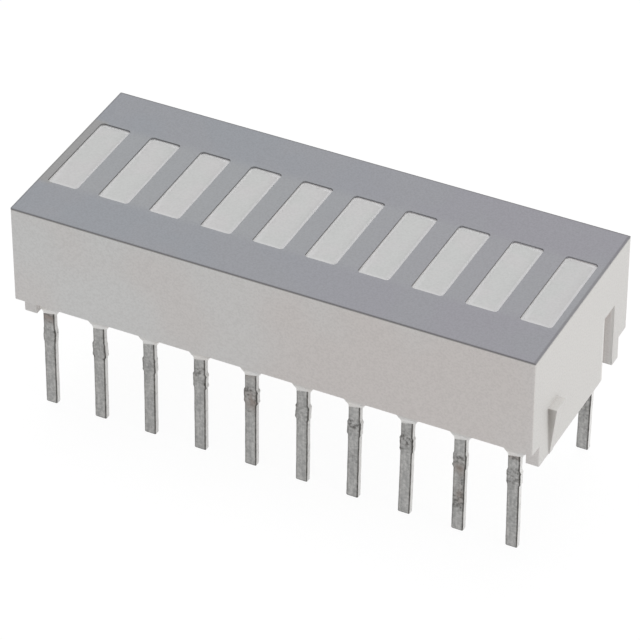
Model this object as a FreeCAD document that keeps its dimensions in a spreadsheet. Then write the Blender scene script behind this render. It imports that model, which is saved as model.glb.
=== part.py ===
import FreeCAD, Part
import math
import os

import Sketcher

# Ten segment LED bar graph with two rows of ten leads, low profile, made to stack end to end.
# Frame: the origin is in the middle of the lead pattern, on the plane where the feet stand. +X runs
# along the row of windows, +Y from the front leads to the rear leads and +Z up to the display face.
# All sizes are in millimetres.

SIZES = (
    ("segment_count", 10, "light bars, each with one lead in either row"),
    ("segment_pitch", 2.54, "from bar to bar and from lead to lead"),
    ("stack_gap", 0.2, "what the body is shorter than its pitches, to stack end to end"),
    ("body_width", 10.16, "outside of the long walls"),
    ("body_height", 6.1, "feet to display face"),
    ("corner_radius", 0.06, "upright edges of the body"),
    ("coat_thickness", 0.08, "grey coat on the display face"),
    ("skirt_lift", 1.15, "lower edge of the long walls above the feet"),
    ("end_wall", 0.62, "thickness of the end walls at the pocket"),
    ("rim_wall", 0.25, "thickness of the rims that hold the casting in"),
    ("rim_lift", 0.55, "lower edge of the rims above the feet"),
    ("pocket_ceiling", 2.3, "ceiling of the underside pocket above the feet"),
    ("key_offset", 3.08, "centre line to the middle of the key and of the slot"),
    ("key_width", 1.0, "key across the end face at its top"),
    ("key_foot_width", 0.35, "key across the end face at its foot"),
    ("key_height", 2.7, "top of the key above the feet"),
    ("key_rise", 0.42, "key above the end face at its top"),
    ("key_toe", 0.03, "key above the end face at its foot"),
    ("key_clearance", 0.075, "free space between a key and its slot, each side"),
    ("slot_headroom", 0.62, "slot above the top of the key"),
    ("slot_backing", 0.22, "extra wall behind and beside the slot"),
    ("window_length", 5.08, "window across the body"),
    ("window_width", 1.52, "window along the body"),
    ("window_radius", 0.17, "corners of the openings in the coat"),
    ("throat_length", 2.2, "lower end of the cavity across the body"),
    ("throat_width", 1.1, "lower end of the cavity along the body"),
    ("fill_shrink", 0.03, "casting below the top of the housing in each window"),
    ("fill_level", 0.3, "underside of the casting above the feet"),
    ("wick_radius", 0.34, "fillet that the casting forms round each lead"),
    ("row_spacing", 7.62, "between the centres of the two lead rows"),
    ("lead_width", 0.53, "lead along the row"),
    ("lead_thickness", 0.27, "lead across the row"),
    ("lead_clearance", 0.105, "outer face of a lead to the rim beside it"),
    ("lead_drop", 5.15, "feet to lead tip"),
    ("lead_plane", 1.95, "upper face of the inner lead ends above the feet"),
    ("bend_radius", 0.2, "inside of the lead bend"),
    ("tip_bevel", 0.03, "corners of the lead tip"),
    ("stub_drop", 1.3, "feet to the middle of the dam bar stubs"),
    ("stub_height", 0.93, "dam bar stub along the lead"),
    ("stub_proud", 0.085, "dam bar stub beside the lead"),
    ("stub_bevel", 0.12, "ends of the dam bar stub"),
    ("pad_width", 0.8, "inner lead ends along the row"),
    ("chip_pad_reach", 0.35, "chip centre to the end of the chip pad"),
    ("chip_pad_length", 0.75, "chip pad across the row"),
    ("wire_pad_length", 0.55, "wire pad across the row"),
    ("pad_gap", 0.3, "between the two pads"),
    ("chip_side", 0.3, "chip along and across"),
    ("chip_height", 0.25, "chip above its pad"),
    ("wire_diameter", 0.05, "bond wire"),
    ("wire_rise", 0.2, "knee of the wire above the chip"),
    ("wire_landing", 0.25, "end of the wire pad to where the wire lands"),
)

# Sizes that several pieces share, as expressions on the sheet
BODY_LENGTH = "(Sizes.segment_count * Sizes.segment_pitch - Sizes.stack_gap)"
HALF_LENGTH = f"({BODY_LENGTH} / 2)"
ROW_LENGTH = "((Sizes.segment_count - 1) * Sizes.segment_pitch)"
HOUSING_TOP = "(Sizes.body_height - Sizes.coat_thickness)"
POCKET_LENGTH = f"({BODY_LENGTH} - 2 * Sizes.end_wall)"
POCKET_WIDTH = "(Sizes.row_spacing + Sizes.lead_thickness + 2 * Sizes.lead_clearance)"
FOOT_SPAN = f"({POCKET_WIDTH} + 2 * Sizes.rim_wall)"
SLOT_HALF_WIDTH = "(Sizes.key_width / 2 + Sizes.key_clearance)"
SLOT_DEPTH = "(Sizes.key_rise + Sizes.key_clearance)"
HALF_ROWS = "(Sizes.row_spacing / 2)"
HALF_THICKNESS = "(Sizes.lead_thickness / 2)"
WICK_END = "(Sizes.fill_level - Sizes.wick_radius)"
CHIP_TOP = "(Sizes.lead_plane + Sizes.chip_height)"
WIRE_PAD_END = "(Sizes.chip_pad_reach + Sizes.pad_gap)"


def make_sheet(doc):
    """Write every driving dimension into the sheet, with its name and what it sets."""
    sheet = doc.addObject("Spreadsheet::Sheet", "Sizes")
    for row, (alias, size, meaning) in enumerate(SIZES, start=1):
        sheet.set(f"A{row}", alias)
        sheet.set(f"B{row}", str(size))
        sheet.setAlias(f"B{row}", alias)
        sheet.set(f"C{row}", meaning)
    doc.recompute()
    return sheet


def value(doc, expression):
    """The number that an expression on the sheet gives now."""
    return float(doc.Sizes.evalExpression(expression))


def new_body(doc, name):
    body = doc.addObject("PartDesign::Body", name)
    body.Label = name
    return body


def origin_feature(body, role):
    return next(item for item in body.Origin.OriginFeatures if item.Role == role)


def new_sketch(body, name, role, shift=None, lift=None):
    """A sketch on one of the body's own planes, shifted along it and lifted off it."""
    sketch = body.newObject("Sketcher::SketchObject", name)
    sketch.AttachmentSupport = [(origin_feature(body, role), "")]
    sketch.MapMode = "FlatFace"
    if shift:
        sketch.setExpression("AttachmentOffset.Base.x", shift)
    if lift:
        sketch.setExpression("AttachmentOffset.Base.z", lift)
    return sketch


def bind(doc, sketch, kind, *where, expression):
    """Add a dimension to a sketch and tie it to the sheet."""
    index = sketch.addConstraint(Sketcher.Constraint(kind, *where, value(doc, expression)))
    sketch.setExpression(f"Constraints[{index}]", expression)


def place_point(doc, sketch, edge, end, across, up):
    """Hold the point of an edge at its two coordinates from the sketch's origin."""
    for kind, axis, expression in (("DistanceX", -2, across), ("DistanceY", -1, up)):
        if abs(value(doc, expression)) < 1e-9:
            sketch.addConstraint(Sketcher.Constraint("PointOnObject", edge, end, axis))
        else:
            bind(doc, sketch, kind, -1, 1, edge, end, expression=expression)


def arc_between(start, end, radius, turn):
    """The arc of a radius from start to end that turns left or right, and whether it runs backwards."""
    chord = end - start
    side = 1 if turn == "left" else -1
    reach = math.sqrt(max(radius ** 2 - (chord.Length / 2) ** 2, 0))
    normal = FreeCAD.Vector(-chord.y, chord.x, 0).normalize() * side
    centre = (start + end) / 2 + normal * reach
    first, last = (start, end) if turn == "left" else (end, start)
    angles = [math.atan2(point.y - centre.y, point.x - centre.x) for point in (first, last)]
    if angles[1] < angles[0]:
        angles[1] += 2 * math.pi
    circle = Part.Circle(centre, FreeCAD.Vector(0, 0, 1), radius)
    return Part.ArcOfCircle(circle, angles[0], angles[1]), turn == "right"


def draw_outline(doc, sketch, corners):
    """Draw a closed outline through corners, each an (across, up) pair of expressions. A corner with a
    radius and a turn as well has an arc to the next corner in place of a line."""
    points = [FreeCAD.Vector(value(doc, c[0]), value(doc, c[1]), 0) for c in corners]
    ends = []
    for index, corner in enumerate(corners):
        start, end = points[index], points[(index + 1) % len(points)]
        backwards = False
        if len(corner) == 4:
            edge, backwards = arc_between(start, end, value(doc, corner[2]), corner[3])
        else:
            edge = Part.LineSegment(start, end)
        number = sketch.addGeometry(edge, False)
        ends.append((number, 2, 1) if backwards else (number, 1, 2))
    for index, (number, first, last) in enumerate(ends):
        following, joined, _ = ends[(index + 1) % len(ends)]
        sketch.addConstraint(Sketcher.Constraint("Coincident", number, last, following, joined))
        place_point(doc, sketch, number, first, corners[index][0], corners[index][1])
        if len(corners[index]) == 4:
            bind(doc, sketch, "Radius", number, expression=corners[index][2])


def draw_box(doc, sketch, low, high):
    """Draw an upright rectangle between two opposite corners."""
    corners = [low, (high[0], low[1]), high, (low[0], high[1])]
    draw_outline(doc, sketch, corners)


def draw_rounded_box(doc, sketch, length, width, radius):
    """Draw a rectangle with round corners about the sketch's origin."""
    across = f"({length} / 2)"
    up = f"({width} / 2)"
    inner_across = f"({across} - {radius})"
    inner_up = f"({up} - {radius})"
    draw_outline(doc, sketch, [
        (f"-{across}", f"-{inner_up}", radius, "left"),
        (f"-{inner_across}", f"-{up}"),
        (inner_across, f"-{up}", radius, "left"),
        (across, f"-{inner_up}"),
        (across, inner_up, radius, "left"),
        (inner_across, up),
        (f"-{inner_across}", up, radius, "left"),
        (f"-{across}", inner_up),
    ])


def pad(body, name, sketch, length, symmetric=False):
    feature = body.newObject("PartDesign::Pad", name)
    feature.Profile = sketch
    feature.SideType = "Symmetric" if symmetric else "One side"
    feature.setExpression("Length", length)
    return feature


def pocket(body, name, sketch, length, symmetric=False, upward=False):
    feature = body.newObject("PartDesign::Pocket", name)
    feature.Profile = sketch
    feature.SideType = "Symmetric" if symmetric else "One side"
    feature.Reversed = upward
    feature.setExpression("Length", length)
    return feature


def half_turn(body, name, features):
    """Repeat features half a turn round the upright axis."""
    pattern = body.newObject("PartDesign::PolarPattern", name)
    pattern.Originals = features
    pattern.Axis = (origin_feature(body, "Z_Axis"), [""])
    pattern.Angle = 360
    pattern.Occurrences = 2
    body.Tip = pattern
    return pattern


def repeat_along(body, name, features, length, count):
    """Repeat features along the row."""
    pattern = body.newObject("PartDesign::LinearPattern", name)
    pattern.Originals = features
    pattern.Direction = (origin_feature(body, "X_Axis"), [""])
    pattern.setExpression("Length", length)
    pattern.setExpression("Occurrences", count)
    body.Tip = pattern
    return pattern


def make_housing_blank(doc):
    """The moulding's outside: the block, the narrower foot block, the two keys and the two slots."""
    body = new_body(doc, "housing_blank")

    block_plan = new_sketch(body, "block_plan", "XY_Plane", lift="Sizes.skirt_lift")
    draw_rounded_box(doc, block_plan, BODY_LENGTH, "Sizes.body_width", "Sizes.corner_radius")
    pad(body, "block", block_plan, f"{HOUSING_TOP} - Sizes.skirt_lift")

    foot_plan = new_sketch(body, "foot_plan", "XY_Plane")
    draw_rounded_box(doc, foot_plan, BODY_LENGTH, FOOT_SPAN, "Sizes.corner_radius")
    pad(body, "foot_block", foot_plan, "Sizes.skirt_lift")

    # Between the end walls only the rims stay below the long walls, and they end above the feet
    rim_plan = new_sketch(body, "rim_plan", "XY_Plane")
    draw_box(doc, rim_plan, (f"-{POCKET_LENGTH} / 2", "-Sizes.body_width / 2"),
             (f"{POCKET_LENGTH} / 2", "Sizes.body_width / 2"))
    pocket(body, "rim_cut", rim_plan, "Sizes.rim_lift", upward=True)

    # The key is a wedge: full at its top, and narrow and thin at its foot, which enters a slot first
    key_root = f"{HALF_LENGTH} - Sizes.end_wall / 2"
    key_side = new_sketch(body, "key_side", "XZ_Plane", lift="Sizes.key_offset")
    draw_outline(doc, key_side, [
        (key_root, "0"),
        (f"{HALF_LENGTH} + Sizes.key_toe", "0"),
        (f"{HALF_LENGTH} + Sizes.key_rise", "Sizes.key_height"),
        (key_root, "Sizes.key_height"),
    ])
    key = pad(body, "key", key_side, "Sizes.key_width", symmetric=True)
    key_flanks = new_sketch(body, "key_flanks", "YZ_Plane", lift=HALF_LENGTH)
    for side in ("-", "+"):
        draw_outline(doc, key_flanks, [
            (f"-Sizes.key_offset {side} Sizes.key_foot_width / 2", "0"),
            (f"-Sizes.key_offset {side} Sizes.key_width / 2", "Sizes.key_height"),
            (f"-Sizes.key_offset {side} Sizes.key_width", "Sizes.key_height"),
            (f"-Sizes.key_offset {side} Sizes.key_width", "0"),
        ])
    flank_cut = pocket(body, "flank_cut", key_flanks, "Sizes.key_rise", upward=True)

    slot_plan = new_sketch(body, "slot_plan", "XY_Plane")
    draw_box(doc, slot_plan,
             (f"{HALF_LENGTH} - {SLOT_DEPTH}", f"Sizes.key_offset - {SLOT_HALF_WIDTH}"),
             (f"{HALF_LENGTH} + {SLOT_DEPTH}", f"Sizes.key_offset + {SLOT_HALF_WIDTH}"))
    slot = pocket(body, "slot", slot_plan, "Sizes.key_height + Sizes.slot_headroom", upward=True)
    half_turn(body, "both_ends", [key, flank_cut, slot])
    return body


def make_mould_core(doc):
    """All the space inside the housing: the underside pocket and the tapered reflector cavities."""
    body = new_body(doc, "mould_core")

    pocket_plan = new_sketch(body, "pocket_plan", "XY_Plane", lift="-Sizes.skirt_lift")
    draw_box(doc, pocket_plan, (f"-{POCKET_LENGTH} / 2", f"-{POCKET_WIDTH} / 2"),
             (f"{POCKET_LENGTH} / 2", f"{POCKET_WIDTH} / 2"))
    pad(body, "pocket", pocket_plan, "Sizes.pocket_ceiling + Sizes.skirt_lift")

    # The wall is thicker behind and beside each slot, so the core steps back there
    backing_plan = new_sketch(body, "backing_plan", "XY_Plane", lift="Sizes.pocket_ceiling")
    reach = f"({SLOT_HALF_WIDTH} + Sizes.slot_backing)"
    draw_box(doc, backing_plan,
             (f"{POCKET_LENGTH} / 2 - Sizes.slot_backing", f"Sizes.key_offset - {reach}"),
             (HALF_LENGTH, f"Sizes.key_offset + {reach}"))
    backing = pocket(body, "backing", backing_plan, "Sizes.pocket_ceiling + Sizes.skirt_lift")
    half_turn(body, "both_backings", [backing])

    # Each cavity widens from its throat to its window, and one cut along the row slopes the ends of all
    # of them. The corners stay square here, because the coat that lies over them rounds the windows
    flare = new_sketch(body, "flare", "XZ_Plane", shift=f"-{ROW_LENGTH} / 2")
    draw_outline(doc, flare, [
        ("-Sizes.throat_width / 2", "Sizes.pocket_ceiling"),
        ("Sizes.throat_width / 2", "Sizes.pocket_ceiling"),
        ("Sizes.window_width / 2", HOUSING_TOP),
        ("-Sizes.window_width / 2", HOUSING_TOP),
    ])
    cavity = pad(body, "cavity", flare, "Sizes.window_length", symmetric=True)
    repeat_along(body, "cavities", [cavity], ROW_LENGTH, "Sizes.segment_count")
    end_slopes = new_sketch(body, "end_slopes", "YZ_Plane")
    for side in ("-", ""):
        draw_outline(doc, end_slopes, [
            (f"{side}Sizes.throat_length / 2", "Sizes.pocket_ceiling"),
            (f"{side}Sizes.window_length / 2", HOUSING_TOP),
            (f"{side}Sizes.window_length", HOUSING_TOP),
            (f"{side}Sizes.window_length", "Sizes.pocket_ceiling"),
        ])
    pocket(body, "slope_cut", end_slopes, BODY_LENGTH, symmetric=True)
    return body


def make_face_coat(doc):
    """The thin grey layer on the display face, open at each window."""
    body = new_body(doc, "face_coat")
    coat_plan = new_sketch(body, "coat_plan", "XY_Plane", lift=HOUSING_TOP)
    draw_rounded_box(doc, coat_plan, BODY_LENGTH, "Sizes.body_width", "Sizes.corner_radius")
    pad(body, "coat", coat_plan, "Sizes.coat_thickness")
    opening = new_sketch(body, "opening", "XY_Plane", shift=f"-{ROW_LENGTH} / 2", lift="Sizes.body_height")
    draw_rounded_box(doc, opening, "Sizes.window_width", "Sizes.window_length", "Sizes.window_radius")
    cut = pocket(body, "first_opening", opening, "2 * Sizes.coat_thickness")
    repeat_along(body, "openings", [cut], ROW_LENGTH, "Sizes.segment_count")
    return body


def make_fill_envelope(doc):
    """The casting's outer surfaces: its level in the windows, its flat underside, and the fillets where
    it wets the leads. It is a section with a concave ridge under each row, cut away between the leads."""
    body = new_body(doc, "fill_envelope")
    section = new_sketch(body, "fill_section", "YZ_Plane")
    level = "Sizes.fill_level"
    top = f"{HOUSING_TOP} - Sizes.fill_shrink"
    outer = f"({HALF_ROWS} + {HALF_THICKNESS})"
    inner = f"({HALF_ROWS} - {HALF_THICKNESS})"
    outer_foot = f"({outer} + Sizes.wick_radius)"
    inner_foot = f"({inner} - Sizes.wick_radius)"
    side = "Sizes.body_width / 2"
    radius = "Sizes.wick_radius"
    draw_outline(doc, section, [
        (f"-{side}", level),
        (f"-{outer_foot}", level, radius, "right"),
        (f"-{outer}", WICK_END),
        (f"-{inner}", WICK_END, radius, "right"),
        (f"-{inner_foot}", level),
        (inner_foot, level, radius, "right"),
        (inner, WICK_END),
        (outer, WICK_END, radius, "right"),
        (outer_foot, level),
        (side, level),
        (side, top),
        (f"-{side}", top),
    ])
    pad(body, "fill_block", section, BODY_LENGTH, symmetric=True)

    gap = new_sketch(body, "lead_gap", "XZ_Plane", shift="-Sizes.segment_count * Sizes.segment_pitch / 2")
    half_gap = "((Sizes.segment_pitch - Sizes.lead_width) / 2)"
    level_gap = f"({half_gap} - Sizes.wick_radius)"
    below = f"{WICK_END} - Sizes.wick_radius"
    draw_outline(doc, gap, [
        (f"-{half_gap}", below),
        (f"-{half_gap}", WICK_END, radius, "right"),
        (f"-{level_gap}", level),
        (level_gap, level, radius, "right"),
        (half_gap, WICK_END),
        (half_gap, below),
    ])
    first_gap = pocket(body, "first_gap", gap, "2 * Sizes.body_width", symmetric=True)
    repeat_along(body, "gaps", [first_gap], "Sizes.segment_count * Sizes.segment_pitch",
                 "Sizes.segment_count + 1")
    return body


def make_lead(doc, name, reach, pad_length):
    """One stamped lead about its own upright centre line: a leg with the two cut stubs of the dam bar and
    a bevelled tip, a bend, and an arm towards +Y that ends in a wider pad at the given reach."""
    body = new_body(doc, name)
    outer_bend = "(Sizes.bend_radius + Sizes.lead_thickness)"
    leg_top = f"(Sizes.lead_plane - {outer_bend})"
    half_width = "(Sizes.lead_width / 2)"
    stub_out = f"({half_width} + Sizes.stub_proud)"
    stub_low = "(-Sizes.stub_drop - Sizes.stub_height / 2)"
    stub_high = "(-Sizes.stub_drop + Sizes.stub_height / 2)"
    tip = "-Sizes.lead_drop"

    right_side = [
        (f"{half_width} - Sizes.tip_bevel", tip),
        (half_width, f"{tip} + Sizes.tip_bevel"),
        (half_width, stub_low),
        (stub_out, f"{stub_low} + Sizes.stub_bevel"),
        (stub_out, f"{stub_high} - Sizes.stub_bevel"),
        (half_width, stub_high),
        (half_width, leg_top),
    ]
    left_side = [(f"-({across})", up) for across, up in reversed(right_side)]
    leg_face = new_sketch(body, f"{name}_leg_face", "XZ_Plane")
    draw_outline(doc, leg_face, right_side + left_side)
    pad(body, f"{name}_leg", leg_face, "Sizes.lead_thickness", symmetric=True)

    arm_side = new_sketch(body, f"{name}_arm_side", "YZ_Plane")
    draw_outline(doc, arm_side, [
        (f"-{HALF_THICKNESS}", leg_top, outer_bend, "right"),
        (f"{outer_bend} - {HALF_THICKNESS}", "Sizes.lead_plane"),
        (reach, "Sizes.lead_plane"),
        (reach, "Sizes.lead_plane - Sizes.lead_thickness"),
        (f"{HALF_THICKNESS} + Sizes.bend_radius", "Sizes.lead_plane - Sizes.lead_thickness",
         "Sizes.bend_radius", "left"),
        (HALF_THICKNESS, leg_top),
    ])
    pad(body, f"{name}_arm", arm_side, "Sizes.lead_width", symmetric=True)

    pad_plan = new_sketch(body, f"{name}_pad_plan", "XY_Plane", lift="Sizes.lead_plane - Sizes.lead_thickness")
    draw_box(doc, pad_plan, ("-Sizes.pad_width / 2", f"{reach} - {pad_length}"),
             ("Sizes.pad_width / 2", reach))
    pad(body, f"{name}_pad", pad_plan, "Sizes.lead_thickness")
    return body


def make_wire(doc):
    """One bond wire about the chip's centre: straight up from the chip to a knee, then down to the pad,
    where its end is pressed flush with the pad's face. It is far too thin for its six flats to show."""
    body = new_body(doc, "wire_pattern")
    landing = f"({WIRE_PAD_END} + Sizes.wire_landing)"
    run_out = "Sizes.lead_plane - Sizes.wire_diameter"
    stops = [("0", CHIP_TOP), ("0", f"{CHIP_TOP} + Sizes.wire_rise"), (f"-{landing}", run_out)]
    points = [FreeCAD.Vector(value(doc, across), value(doc, up), 0) for across, up in stops]
    path = new_sketch(body, "wire_path", "YZ_Plane")
    rise = path.addGeometry(Part.LineSegment(points[0], points[1]))
    fall = path.addGeometry(Part.LineSegment(points[1], points[2]))
    path.addConstraint(Sketcher.Constraint("Coincident", rise, 2, fall, 1))
    for edge, end, (across, up) in ((rise, 1, stops[0]), (fall, 1, stops[1]), (fall, 2, stops[2])):
        place_point(doc, path, edge, end, across, up)

    section = new_sketch(body, "wire_section", "XY_Plane", lift=CHIP_TOP)
    radius = "Sizes.wire_diameter / 2"
    draw_outline(doc, section, [(f"{radius} * cos({60 * corner} deg)", f"{radius} * sin({60 * corner} deg)")
                                for corner in range(6)])
    wire = body.newObject("PartDesign::AdditivePipe", "wire")
    wire.Profile = section
    wire.Spine = path
    wire.Transition = "Right corner"

    trim_plan = new_sketch(body, "trim_plan", "XY_Plane", lift="Sizes.lead_plane")
    draw_box(doc, trim_plan, (f"-{landing}", f"-2 * {landing}"), (landing, f"-{landing} / 2"))
    pocket(body, "trim", trim_plan, "4 * Sizes.wire_diameter")
    return body


def place_copy(doc, name, pattern, across, back, turned=False):
    """A copy of a pattern piece that follows it, at its own place and in its own body."""
    body = new_body(doc, name)
    copy = body.newObject("PartDesign::FeatureBase", f"{name}_base")
    copy.BaseFeature = pattern
    if turned:
        body.Placement = FreeCAD.Placement(FreeCAD.Vector(), FreeCAD.Rotation(FreeCAD.Vector(0, 0, 1), 180))
    body.setExpression("Placement.Base.x", across)
    body.setExpression("Placement.Base.y", back)
    return body


def make_chip(doc, name, across):
    """One chip, sawn square, on the chip pad under its cavity."""
    chip = doc.addObject("Part::Box", name)
    chip.Label = name
    chip.setExpression("Length", "Sizes.chip_side")
    chip.setExpression("Width", "Sizes.chip_side")
    chip.setExpression("Height", "Sizes.chip_height")
    chip.setExpression("Placement.Base.x", f"{across} - Sizes.chip_side / 2")
    chip.setExpression("Placement.Base.y", "-Sizes.chip_side / 2")
    chip.setExpression("Placement.Base.z", "Sizes.lead_plane")
    return chip


def make_inner_pieces(doc):
    """Leads, chips and wires. The leads are counted along the front row from the left, then back along
    the rear row from the right."""
    count = int(value(doc, "Sizes.segment_count"))
    wire_lead = make_lead(doc, "wire_lead_pattern", f"({HALF_ROWS} - {WIRE_PAD_END})", "Sizes.wire_pad_length")
    chip_lead = make_lead(doc, "chip_lead_pattern", f"({HALF_ROWS} + Sizes.chip_pad_reach)",
                          "Sizes.chip_pad_length")
    wire = make_wire(doc)
    pieces = []
    for index in range(count):
        across = f"({index} * Sizes.segment_pitch - {ROW_LENGTH} / 2)"
        front = place_copy(doc, f"lead_{index + 1:02d}", wire_lead, across, f"-{HALF_ROWS}")
        rear = place_copy(doc, f"lead_{2 * count - index:02d}", chip_lead, across, HALF_ROWS, turned=True)
        chip = make_chip(doc, f"chip_{index + 1:02d}", across)
        bond = place_copy(doc, f"bond_wire_{index + 1:02d}", wire, across, "0")
        pieces += [front, rear, chip, bond]
    return pieces


def cut_piece(doc, name, base, tool):
    piece = doc.addObject("Part::Cut", name)
    piece.Label = name
    piece.Base = base
    piece.Tool = tool
    piece.Refine = True
    return piece


def make_part(doc):
    make_sheet(doc)
    core = make_mould_core(doc)
    housing = cut_piece(doc, "housing", make_housing_blank(doc), core)
    coat = make_face_coat(doc)
    inner = make_inner_pieces(doc)

    inside = doc.addObject("Part::MultiFuse", "inner_pieces")
    inside.Shapes = inner
    casting = doc.addObject("Part::MultiCommon", "casting")
    casting.Shapes = [make_fill_envelope(doc), core]
    fill = cut_piece(doc, "epoxy_fill", casting, inside)
    doc.recompute()
    return [housing, coat, fill] + inner


def check_and_write(doc, pieces):
    """Stop if anything failed to build, then write one file for each piece."""
    for item in doc.Objects:
        if "Invalid" in item.State or "Error" in item.State:
            raise RuntimeError(f"{item.Label} failed: {item.State}")
    for piece in pieces:
        if piece.Shape.isNull() or not piece.Shape.isValid() or len(piece.Shape.Solids) != 1:
            raise RuntimeError(f"{piece.Label} is not one sound solid")
    os.makedirs("parts", exist_ok=True)
    for piece in pieces:
        piece.Shape.exportStep(os.path.join("parts", f"{piece.Label}.step"))
        print(f"{piece.Label}: {piece.Shape.Volume:.3f} cubic mm")


document = FreeCAD.newDocument("led_bar_graph")
check_and_write(document, make_part(document))
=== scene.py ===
"""Looks for the ten segment LED bar graph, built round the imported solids.

The frame is the part's own: metres, the origin in the middle of the lead pattern on the plane of the
feet, +X along the row of windows, +Y from the front leads to the rear leads, +Z up to the display face.
"""
import logging
from dataclasses import dataclass, field
from enum import Enum
from functools import cached_property
from typing import Union

import bmesh
import bpy
import numpy as np
from mathutils import Matrix, Vector


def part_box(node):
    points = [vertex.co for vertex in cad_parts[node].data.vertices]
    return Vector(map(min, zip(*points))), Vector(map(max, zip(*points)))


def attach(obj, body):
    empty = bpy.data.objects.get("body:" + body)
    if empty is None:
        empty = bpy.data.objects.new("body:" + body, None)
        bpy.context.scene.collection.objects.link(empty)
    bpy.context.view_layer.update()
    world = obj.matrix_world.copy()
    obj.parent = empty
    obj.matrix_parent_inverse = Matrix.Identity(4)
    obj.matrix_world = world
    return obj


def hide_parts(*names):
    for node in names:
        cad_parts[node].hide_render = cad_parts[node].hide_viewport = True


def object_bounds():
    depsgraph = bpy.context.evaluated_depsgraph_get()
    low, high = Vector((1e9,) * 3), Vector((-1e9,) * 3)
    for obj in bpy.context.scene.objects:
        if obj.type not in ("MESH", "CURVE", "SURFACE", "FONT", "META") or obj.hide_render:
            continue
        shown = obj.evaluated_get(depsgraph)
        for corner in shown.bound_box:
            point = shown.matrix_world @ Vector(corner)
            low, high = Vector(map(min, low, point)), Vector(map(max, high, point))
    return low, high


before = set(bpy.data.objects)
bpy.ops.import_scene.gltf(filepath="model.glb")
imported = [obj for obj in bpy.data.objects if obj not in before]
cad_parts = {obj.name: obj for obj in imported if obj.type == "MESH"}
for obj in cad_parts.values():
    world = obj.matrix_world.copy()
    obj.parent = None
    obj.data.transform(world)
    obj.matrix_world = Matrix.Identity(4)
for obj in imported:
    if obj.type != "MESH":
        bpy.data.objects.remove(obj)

LOG = logging.getLogger("bar_graph")
MM = 0.001
BODY = "root"
CAD_BOX = [list(corner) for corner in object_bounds()]

Colour = tuple[float, float, float]
Span = tuple[float, float]
SPECK_PART: Span = (0.35, 0.7)
TOLERANCE = 1e-6


def span(start: float, end: float) -> Span:
    """Where a mask begins and ends, from millimetres."""
    return start * MM, end * MM


def from_screen(*parts: int) -> Colour:
    """A colour as a screen shows it, turned into the linear light that a shader works in.

    Args:
        parts: Red, green and blue from 0 to 255.

    Returns:
        The three linear parts, from 0 to 1.
    """
    shown = np.array(parts) / 255
    linear = np.where(shown <= 0.04045, shown / 12.92, ((shown + 0.055) / 1.055) ** 2.4)
    return tuple(float(part) for part in linear)


# ---- Shader expressions ----


class Number:
    """A number that varies over a surface. Arithmetic on it adds Math nodes to its material."""

    def __init__(self, tree: "Tree", socket: bpy.types.NodeSocket) -> None:
        """Wrap one output socket of a tree."""
        self.tree = tree
        self.socket = socket

    def math(self, operation: str, *others: "Scalar") -> "Number":
        """Join this number to others by one Math node."""
        return self.tree.number("ShaderNodeMath", dict(enumerate([self, *others])), operation=operation)

    def __add__(self, other: "Scalar") -> "Number":
        """Add."""
        return self.math("ADD", other)

    __radd__ = __add__

    def __sub__(self, other: "Scalar") -> "Number":
        """Subtract."""
        return self.math("SUBTRACT", other)

    def __rsub__(self, other: "Scalar") -> "Number":
        """Subtract this from the other."""
        return self.tree.number("ShaderNodeMath", {0: other, 1: self}, operation="SUBTRACT")

    def __mul__(self, other: "Scalar") -> "Number":
        """Multiply."""
        return self.math("MULTIPLY", other)

    __rmul__ = __mul__

    def __abs__(self) -> "Number":
        """Drop the sign."""
        return self.math("ABSOLUTE")

    def above(self, start: float, end: float, at: float = 0.0, most: float = 1.0) -> "Number":
        """A smooth mask, 0 at the start value and at its most at the end value, both counted from a place."""
        inputs = {"Value": self, "From Min": at + start, "From Max": at + end, "To Max": most}
        return self.tree.number("ShaderNodeMapRange", inputs, interpolation_type="SMOOTHSTEP")

    def below(self, start: float, end: float, at: float = 0.0, most: float = 1.0) -> "Number":
        """The other way round: at its most at the start value and 0 at the end value."""
        return most - self.above(start, end, at, most)

    def around(self, middle: float, spread: float) -> "Number":
        """A noise from 0 to 1, moved and scaled to lie about a middle value."""
        return (self - 0.5) * spread + middle


Scalar = Union[Number, float]


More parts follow.
